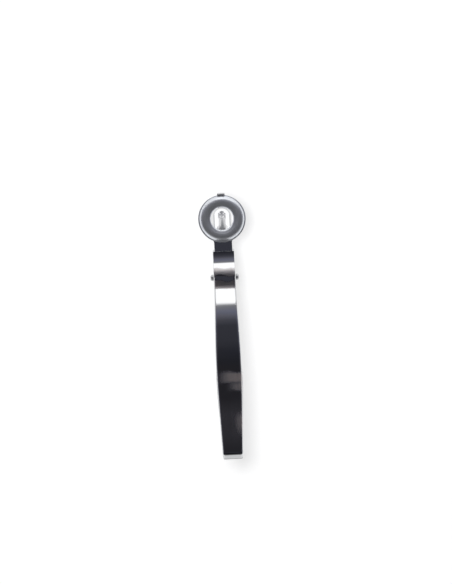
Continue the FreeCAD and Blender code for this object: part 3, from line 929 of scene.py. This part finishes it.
@dataclass
class PressedCup:
    """The pressed ring that holds the fruit: flange, raised crown, and a collar rolled into the hole.

    Attributes:
        sheet: Thickness of the sheet.
        wall_radius: Outside radius of the raised ring.
        shoulder: Height of the raised ring at its edges.
        crown: Rise of the crown over its edges.
        collar: Depth of the rolled collar below the shoulder.
        hole_radius: Radius of the hole.
        foot_rounding: Inside bend between flange and wall.
        edge_rounding: Outside bend at the top of the wall.
        crown_rounding: Outside bend along the crown.
        roll_rounding: Outside bend into the hole.
        rim_rounding: Rounding of the sheet's cut edges.
        arc_step: Largest turn between two points of a bend.
        segments: Steps round the ring.
    """

    sheet: float = 0.8 * MM
    wall_radius: float = 13.7 * MM
    shoulder: float = 4.0 * MM
    crown: float = 0.9 * MM
    collar: float = 3.2 * MM
    hole_radius: float = 6.9 * MM
    foot_rounding: float = 0.6 * MM
    edge_rounding: float = 2.9 * MM
    crown_rounding: float = 4.4 * MM
    roll_rounding: float = 1.5 * MM
    rim_rounding: float = 0.25 * MM
    arc_step: float = math.radians(6)
    segments: int = 144

    def lie(self) -> Lie:
        """Finds the middle of the ring on the seat of its flange."""
        low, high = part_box("fruit_cup")
        return Lie(Vector(((low.x + high.x) / 2, (low.y + high.y) / 2, low.z)), UP)

    def section(self) -> Section:
        """Draws the section of the pressed sheet: its upper side outward in, then its under side back.

        Returns:
            The closed section.
        """
        low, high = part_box("fruit_cup")
        rim = (high.x - low.x) / 2
        middle = (self.wall_radius + self.hole_radius) / 2
        slope = math.atan2(self.crown, self.wall_radius - middle)
        drop = self.sheet / math.cos(slope)
        under_edge = self.shoulder + self.sheet * math.tan(slope) - drop
        end = self.shoulder - self.collar
        upper = [
            Corner(rim, self.sheet, self.rim_rounding),
            Corner(self.wall_radius, self.sheet, self.foot_rounding),
            Corner(self.wall_radius, self.shoulder, self.edge_rounding),
            Corner(middle, self.shoulder + self.crown, self.crown_rounding),
            Corner(self.hole_radius, self.shoulder, self.roll_rounding),
            Corner(self.hole_radius, end, self.rim_rounding),
        ]
        under = [
            Corner(self.hole_radius + self.sheet, end, self.rim_rounding),
            Corner(self.hole_radius + self.sheet, under_edge, self.roll_rounding - self.sheet),
            Corner(middle, self.shoulder + self.crown - drop, self.crown_rounding - self.sheet),
            Corner(self.wall_radius - self.sheet, under_edge, self.edge_rounding - self.sheet),
            Corner(self.wall_radius - self.sheet, 0.0, self.foot_rounding + self.sheet),
            Corner(rim, 0.0, self.rim_rounding),
        ]
        return Section(list(reversed(upper + under)), closed=True, arc_step=self.arc_step)

    def build(self, material: bpy.types.Material) -> bpy.types.Object:
        """Makes the cup.

        Args:
            material: Its material.

        Returns:
            The dressed cup.
        """
        cup = revolve("fruit_cup_pressing", self.section(), self.lie(), self.segments, material)
        place_in_tool(cup, RING_SIDE, "fruit_cup")
        return cup


@dataclass
class RivetAndSleeve:
    """The rivet through both levers and the spacer tube on it.

    Attributes:
        pin_radius: Radius of the rivet's shank.
        head_radius: Radius of its heads.
        head_thickness: Thickness of a head.
        dome_rounding: Rounding of a head's outer edge.
        edge_rounding: Rounding of the other edges.
        bore_play: Radial play between shank and sleeve.
        segments: Steps round the rivet.
    """

    pin_radius: float = 1.4 * MM
    head_radius: float = 1.95 * MM
    head_thickness: float = 1.9 * MM
    dome_rounding: float = 1.1 * MM
    edge_rounding: float = 0.08 * MM
    bore_play: float = 0.06 * MM
    segments: int = 56

    def lie(self, frame: dict) -> Lie:
        """Finds the rivet's axis, which is the joint's."""
        return Lie(Vector(frame["joints"][0]["pos_m"]), ALONG_RIVET)

    def build_rivet(self, frame: dict, material: bpy.types.Material) -> bpy.types.Object:
        """Makes the rivet.

        Args:
            frame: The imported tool.
            material: Its material.

        Returns:
            The dressed rivet.
        """
        low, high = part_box("pivot_rivet")
        end = (high.x - low.x) / 2
        wall = end - self.head_thickness
        half = [
            Corner(0.0, end),
            Corner(self.head_radius, end, self.dome_rounding),
            Corner(self.head_radius, wall, self.edge_rounding),
            Corner(self.pin_radius, wall, self.edge_rounding),
        ]
        mirrored = [Corner(corner.radius, -corner.height, corner.rounding) for corner in reversed(half)]
        section = Section(half + mirrored, closed=False)
        rivet = revolve("pivot_rivet_turned", section, self.lie(frame), self.segments, material)
        place_in_tool(rivet, PUNCH_SIDE, "pivot_rivet")
        return rivet

    def build_sleeve(self, frame: dict, material: bpy.types.Material) -> bpy.types.Object:
        """Makes the spacer tube.

        Args:
            frame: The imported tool.
            material: Its material.

        Returns:
            The dressed sleeve.
        """
        low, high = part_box("spring_sleeve")
        end = (high.x - low.x) / 2
        outside = (high.z - low.z) / 2
        bore = self.pin_radius + self.bore_play
        corners = [Corner(radius, height, self.edge_rounding)
                   for radius, height in ((bore, -end), (bore, end), (outside, end), (outside, -end))]
        section = Section(corners, closed=True)
        sleeve = revolve("spring_sleeve_tube", section, self.lie(frame), self.segments, material)
        place_in_tool(sleeve, RING_SIDE, "spring_sleeve")
        return sleeve


@dataclass
class OpeningSpring:
    """The coil round the sleeve, with a leg under each handle.

    Attributes:
        wire_radius: Half the wire's thickness.
        coil_radius: Radius of the coil to the middle of the wire.
        pitch: Distance from turn to turn.
        turns: Whole turns of the coil.
        leg_length: Length of a leg.
        step_angle: Turn between two sections of the coil.
        leg_steps: Sections along a leg.
        sides: Points round the wire.
        end_rows: Rows that round a leg's end.
        quiet_length: Length at each end of the coil that doesn't twist. Not used.
    """

    wire_radius: float = 0.5 * MM
    coil_radius: float = 2.96 * MM
    pitch: float = 1.12 * MM
    turns: int = 5
    leg_length: float = 16.0 * MM
    step_angle: float = math.radians(9)
    leg_steps: int = 6
    sides: int = 16
    end_rows: int = 4
    quiet_length: float = 0.5 * MM

    def leg_angle(self, tip_height: float) -> float:
        """Works out where on the coil a leg starts.

        Args:
            tip_height: Distance of the leg's tip from the level of the rivet's axis.

        Returns:
            The angle from the level at which the coil ends and the leg begins.
        """
        arm = math.hypot(self.coil_radius, self.leg_length)
        slope = math.asin(tip_height / arm) - math.atan2(self.coil_radius, self.leg_length)
        return math.pi / 2 - slope

    def path(self, frame: dict) -> list[tuple[Vector, Vector]]:
        """Traces the wire's middle from one leg's tip to the other's.

        Args:
            frame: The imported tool.

        Returns:
            Each point with the wire's direction there.
        """
        pivot = Vector(frame["joints"][0]["pos_m"])
        low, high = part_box("torsion_spring")
        upper = self.leg_angle(high.z - self.wire_radius - pivot.z)
        lower = self.leg_angle(pivot.z - low.z - self.wire_radius)
        sweep = upper + lower + math.tau * self.turns
        half = self.pitch * sweep / math.tau / 2
        steps = math.ceil(sweep / self.step_angle)
        rise = self.pitch / math.tau
        coil = []
        for step in range(steps + 1):
            angle = -lower + sweep * step / steps
            arm = Vector((0.0, math.cos(angle), math.sin(angle))) * self.coil_radius
            across = Vector((-half + rise * (angle + lower), 0.0, 0.0))
            heading = Vector((rise, -self.coil_radius * math.sin(angle), self.coil_radius * math.cos(angle)))
            coil.append((pivot + across + arm, heading.normalized()))
        legs = []
        for (root, _), angle, side in ((coil[0], -lower, -1.0), (coil[-1], upper, 1.0)):
            away = Vector((0.0, -math.sin(angle), math.cos(angle))) * side
            legs.append([(root + away * (self.leg_length * step / self.leg_steps), away * side)
                         for step in range(1, self.leg_steps + 1)])
        return list(reversed(legs[0])) + coil + legs[1]

    def _end_rows(self, end: tuple[Vector, Vector], outward: float) -> list[tuple[Vector, Vector, float]]:
        """Rounds one end of the wire.

        Args:
            end: The wire's last point and its direction there.
            outward: 1 where the wire ends along its direction, -1 where it starts.

        Returns:
            Centre, direction and radius of each section from the end outward.
        """
        point, heading = end
        rows = []
        for row in range(1, self.end_rows):
            angle = math.pi / 2 * row / self.end_rows
            centre = point + heading * (outward * self.wire_radius * math.sin(angle))
            rows.append((centre, heading, self.wire_radius * math.cos(angle)))
        return rows

    def wire_mesh(self, path: Sequence[tuple[Vector, Vector]]) -> bpy.types.Mesh:
        """Draws round wire along a path, with rounded ends.

        Args:
            path: Points and directions of the wire's middle.

        Returns:
            The wire's mesh.
        """
        rows = [(at, way, self.wire_radius) for at, way in path]
        rows = self._end_rows(path[0], -1.0)[::-1] + rows + self._end_rows(path[-1], 1.0)
        build = bmesh.new()
        side = rows[0][1].orthogonal().normalized()
        angles = [math.tau * index / self.sides for index in range(self.sides)]
        rings = []
        for point, heading, radius in rows:
            side = (side - heading * side.dot(heading)).normalized()
            cross = heading.cross(side)
            rings.append([build.verts.new(point + (side * math.cos(a) + cross * math.sin(a)) * radius)
                          for a in angles])
        for ring, after in zip(rings, rings[1:]):
            for index in range(self.sides):
                beside = (index + 1) % self.sides
                build.faces.new([ring[index], ring[beside], after[beside], after[index]])
        for ring, (point, heading), outward in ((rings[0], path[0], -1.0), (rings[-1], path[-1], 1.0)):
            tip = build.verts.new(point + heading * (outward * self.wire_radius))
            for index in range(self.sides):
                build.faces.new([ring[index], ring[(index + 1) % self.sides], tip])
        bmesh.ops.recalc_face_normals(build, faces=build.faces)
        for face in build.faces:
            face.smooth = True
        mesh = bpy.data.meshes.new("torsion_spring_wire")
        build.to_mesh(mesh)
        build.free()
        return mesh

    def build(self, frame: dict, material: bpy.types.Material) -> bpy.types.Object:
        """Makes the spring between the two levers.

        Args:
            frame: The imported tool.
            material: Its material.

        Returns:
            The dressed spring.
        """
        path = self.path(frame)
        spring = new_object("torsion_spring_wire", self.wire_mesh(path), material)
        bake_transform(spring)
        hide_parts("torsion_spring")
        LOG.info("%s: %d faces between %s and %s", spring.name, len(spring.data.polygons), RING_SIDE,
                 PUNCH_SIDE)
        return spring


@dataclass(frozen=True)
class RoomLight:
    """The room that the steel mirrors: dark overhead, bright walls, and a plain pale backdrop.

    Attributes:
        backdrop: Brightness of the backdrop.
        dark_width: Half width of the dark ceiling across the tool, as a share of the sky's disc.
        dark_length: Half length of it along the tool.
        stops: Brightness of the room from the ceiling's middle outward, in half lengths of the dark part.
        rear_shade: Brightness of the wall behind the handles, as a share.
        rear_range: Backward part of the direction over which that shade clears.
        horizon_range: Upward part of the direction up to which the horizon stays bright all round.
        foot_shade: Brightness of the walls' foot, as a share.
        foot_range: Upward part of the direction over which that shade clears.
        plain_range: Where the ceiling's tint fades into plain white walls, in the stops' half lengths.
        tint_scale: How often the ceiling's tint changes over the sky.
        tints: The ceiling's tints and their places in the noise.
    """

    backdrop: float = 0.955
    dark_width: float = 1.15
    dark_length: float = 0.66
    stops: tuple[tuple[float, float], ...] = (
        (0.0, 0.062), (0.10, 0.058), (0.20, 0.04), (0.30, 0.022), (0.42, 0.022), (0.50, 0.030), (0.62, 0.048),
        (0.755, 0.08), (0.82, 0.115), (0.89, 0.152), (0.965, 0.18), (1.07, 0.22), (1.11, 0.24), (1.13, 0.29),
        (1.145, 0.38), (1.158, 0.62), (1.175, 1.15), (1.19, 1.52), (1.4, 1.58))
    rear_shade: float = 0.12
    rear_range: tuple[float, float] = (-0.45, 0.15)
    horizon_range: tuple[float, float] = (0.06, 0.24)
    foot_shade: float = 0.72
    foot_range: tuple[float, float] = (0.1, 0.5)
    plain_range: tuple[float, float] = (1.0, 1.19)
    tint_scale: float = 3.2
    tints: tuple[tuple[float, Colour], ...] = (
        (0.36, (0.88, 0.93, 1.30)), (0.5, (0.97, 0.98, 1.22)), (0.64, (1.12, 1.0, 1.08)))

    def build(self) -> None:
        """Makes the world."""
        world = bpy.data.worlds.new("studio_room")
        bpy.context.scene.world = world
        world.use_nodes = True
        bench = ShaderBench(world.node_tree)
        way = bench.node("ShaderNodeTexCoord").outputs["Generated"]
        parts = bench.node("ShaderNodeSeparateXYZ", {"Vector": way}).outputs
        across = bench.math("DIVIDE", parts["X"], self.dark_width)
        along = bench.math("DIVIDE", parts["Y"], self.dark_length)
        square = bench.math("ADD", bench.math("MULTIPLY", across, across),
                            bench.math("MULTIPLY", along, along))
        span = self.stops[-1][0]
        reach = bench.math("DIVIDE", bench.math("SQRT", square), span)
        room = bench.ramp(reach, [(place / span, (light, light, light)) for place, light in self.stops])
        rear = bench.spread(parts["Y"], *self.rear_range, self.rear_shade, 1.0)
        horizon = bench.spread(parts["Z"], *self.horizon_range, 1.0, 0.0)
        foot = bench.spread(parts["Z"], *self.foot_range, self.foot_shade, 1.0)
        level = bench.math("MULTIPLY", bench.math("MAXIMUM", rear, horizon), foot)
        plain = bench.spread(reach, self.plain_range[0] / span, self.plain_range[1] / span, 0.0, 1.0)
        tint = self._tint(bench, way, plain)
        lit = bench.vector("MULTIPLY", bench.scaled(room, level), tint).outputs["Vector"]
        camera_ray = bench.node("ShaderNodeLightPath").outputs["Is Camera Ray"]
        seen = bench.mix(camera_ray, lit, (self.backdrop, self.backdrop, self.backdrop, 1.0))
        bench.feed(world.node_tree.nodes["Background"].inputs["Color"], seen)

    def _tint(self, bench: ShaderBench, way: bpy.types.NodeSocket,
              plain: bpy.types.NodeSocket) -> bpy.types.NodeSocket:
        """Gives the dark ceiling a faint warm and cool colour.

        Args:
            bench: The world's node bench.
            way: The direction looked in.
            plain: How white the room is there, from 0 to 1.

        Returns:
            The colour to multiply by.
        """
        patches = bench.noise(way, self.tint_scale, CEILING_PATCHES)
        return bench.mix(plain, bench.ramp(patches, self.tints), WHITE)


@dataclass(frozen=True)
class Studio:
    """Floor, lamps and camera.

    Attributes:
        picture_height: Height of the picture in pixels.
        scale: Size of a pixel at the height of the levers.
        distance: Distance from the camera to the point that it looks at.
        sensor: Size of the camera's sensor along the picture's height.
        clip: Nearest and farthest distance that the camera sees.
        turn: Turn of the tool to the left in the picture.
        pivot_right: Distance of the rivet from the picture's centre, to the right.
        pivot_up: Distance of the rivet from the picture's centre, upward.
        lamp_offset: Place of the lamp from the rivet.
        lamp_size: Width of the lamp.
        lamp_power: Its power in watts.
        floor_size: Side of the floor.
        floor_colour: Its colour.
        floor_glow: Share of plain white in the floor where the camera or the steel sees it.
    """

    picture_height: float = 584.0
    scale: float = 0.615 * MM
    distance: float = 2.418
    sensor: float = 36.0
    clip: tuple[float, float] = (0.05, 30.0)
    turn: float = math.asin(0.047)
    pivot_right: float = -0.8 * MM
    pivot_up: float = 9.04 * MM
    lamp_offset: tuple[float, float, float] = (-0.12, 0.06, 1.3)
    lamp_size: float = 0.3
    lamp_power: float = 20.0
    floor_size: float = 12.0
    floor_colour: Colour = (0.90, 0.90, 0.905)
    floor_glow: float = 0.72

    def build_camera(self, pivot: Vector) -> None:
        """Makes the camera.

        Args:
            pivot: The middle of the rivet.
        """
        right = ALONG_RIVET * math.cos(self.turn) - FORWARD * math.sin(self.turn)
        upward = ALONG_RIVET * math.sin(self.turn) + FORWARD * math.cos(self.turn)
        back = right.cross(upward)
        target = pivot - right * self.pivot_right - upward * self.pivot_up
        data = bpy.data.cameras.new("overhead_camera")
        data.sensor_width = self.sensor
        data.lens = self.distance * self.sensor / self.picture_height / self.scale
        data.clip_start, data.clip_end = self.clip
        camera = bpy.data.objects.new("overhead_camera", data)
        turn = Matrix((right, upward, back)).transposed().to_4x4()
        camera.matrix_world = Matrix.Translation(target + back * self.distance) @ turn
        bpy.context.scene.collection.objects.link(camera)
        bpy.context.scene.camera = camera

    def build_lamp(self, pivot: Vector) -> None:
        """Makes the soft lamp at the upper left, which only throws the shadow.

        Args:
            pivot: The middle of the rivet.
        """
        data = bpy.data.lights.new("window_lamp", "AREA")
        data.shape = "DISK"
        data.size = self.lamp_size
        data.energy = self.lamp_power
        lamp = bpy.data.objects.new("window_lamp", data)
        offset = Vector(self.lamp_offset)
        lamp.location = pivot + offset
        lamp.rotation_mode = "QUATERNION"
        lamp.rotation_quaternion = offset.to_track_quat("Z", "Y")
        lamp.visible_glossy = False
        bpy.context.scene.collection.objects.link(lamp)

    def build_floor(self) -> None:
        """Makes the pale floor, which keeps the tool's shadow."""
        half = self.floor_size / 2
        mesh = bpy.data.meshes.new("pale_floor")
        corners = [(-half, -half, 0.0), (half, -half, 0.0), (half, half, 0.0), (-half, half, 0.0)]
        mesh.from_pydata(corners, [], [(0, 1, 2, 3)])
        material = bpy.data.materials.new("pale_floor")
        material.use_nodes = True
        bench = ShaderBench(material.node_tree)
        paper = material.node_tree.nodes["Principled BSDF"]
        paper.inputs["Base Color"].default_value = (*self.floor_colour, 1.0)
        paper.inputs["Roughness"].default_value = 1.0
        paper.inputs["Specular IOR Level"].default_value = 0.0
        glow = bench.node("ShaderNodeEmission", {"Color": WHITE, "Strength": 1.0})
        rays = bench.node("ShaderNodeLightPath").outputs
        shown = bench.math("MAXIMUM", rays["Is Camera Ray"], rays["Is Glossy Ray"])
        blend = bench.node("ShaderNodeMixShader", {"Fac": bench.math("MULTIPLY", shown, self.floor_glow)})
        bench.feed(blend.inputs[1], paper.outputs["BSDF"])
        bench.feed(blend.inputs[2], glow.outputs["Emission"])
        bench.feed(material.node_tree.nodes["Material Output"].inputs["Surface"], blend.outputs["Shader"])
        new_object("pale_floor", mesh, material)

    def build(self, pivot: Vector) -> None:
        """Makes the whole studio.

        Args:
            pivot: The middle of the rivet.
        """
        RoomLight().build()
        self.build_floor()
        self.build_lamp(pivot)
        self.build_camera(pivot)
        bpy.context.scene.view_settings.view_transform = "Standard"
        LOG.info("studio: floor, lamp, room and camera")


def main() -> None:
    """Builds the tool's pieces in order, then the studio."""
    logging.basicConfig(level=logging.INFO, format="%(name)s: %(message)s")
    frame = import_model()
    cup, punch, rivet = PressedCup(), TurnedPunch(), RivetAndSleeve()
    rivet_lie = rivet.lie(frame)
    FoldedLever("ring_lever", RING_SIDE).build(frame, POLISHED_SHEET.material(rivet_lie))
    FoldedLever("punch_lever", PUNCH_SIDE).build(frame, HANDLE_SHEEN_SHEET.material(rivet_lie))
    cup.build(POLISHED_CUP.material(cup.lie()))
    punch.build(frame, TURNED_ROD.material(punch.lie(frame)))
    rivet.build_rivet(frame, RIVET_HEAD.material(rivet_lie))
    rivet.build_sleeve(frame, DRAWN_TUBE.material(rivet_lie))
    OpeningSpring().build(frame, SPRING_WIRE.material(rivet_lie))
    Studio().build(rivet_lie.centre)


if __name__ == "__main__":
    main()
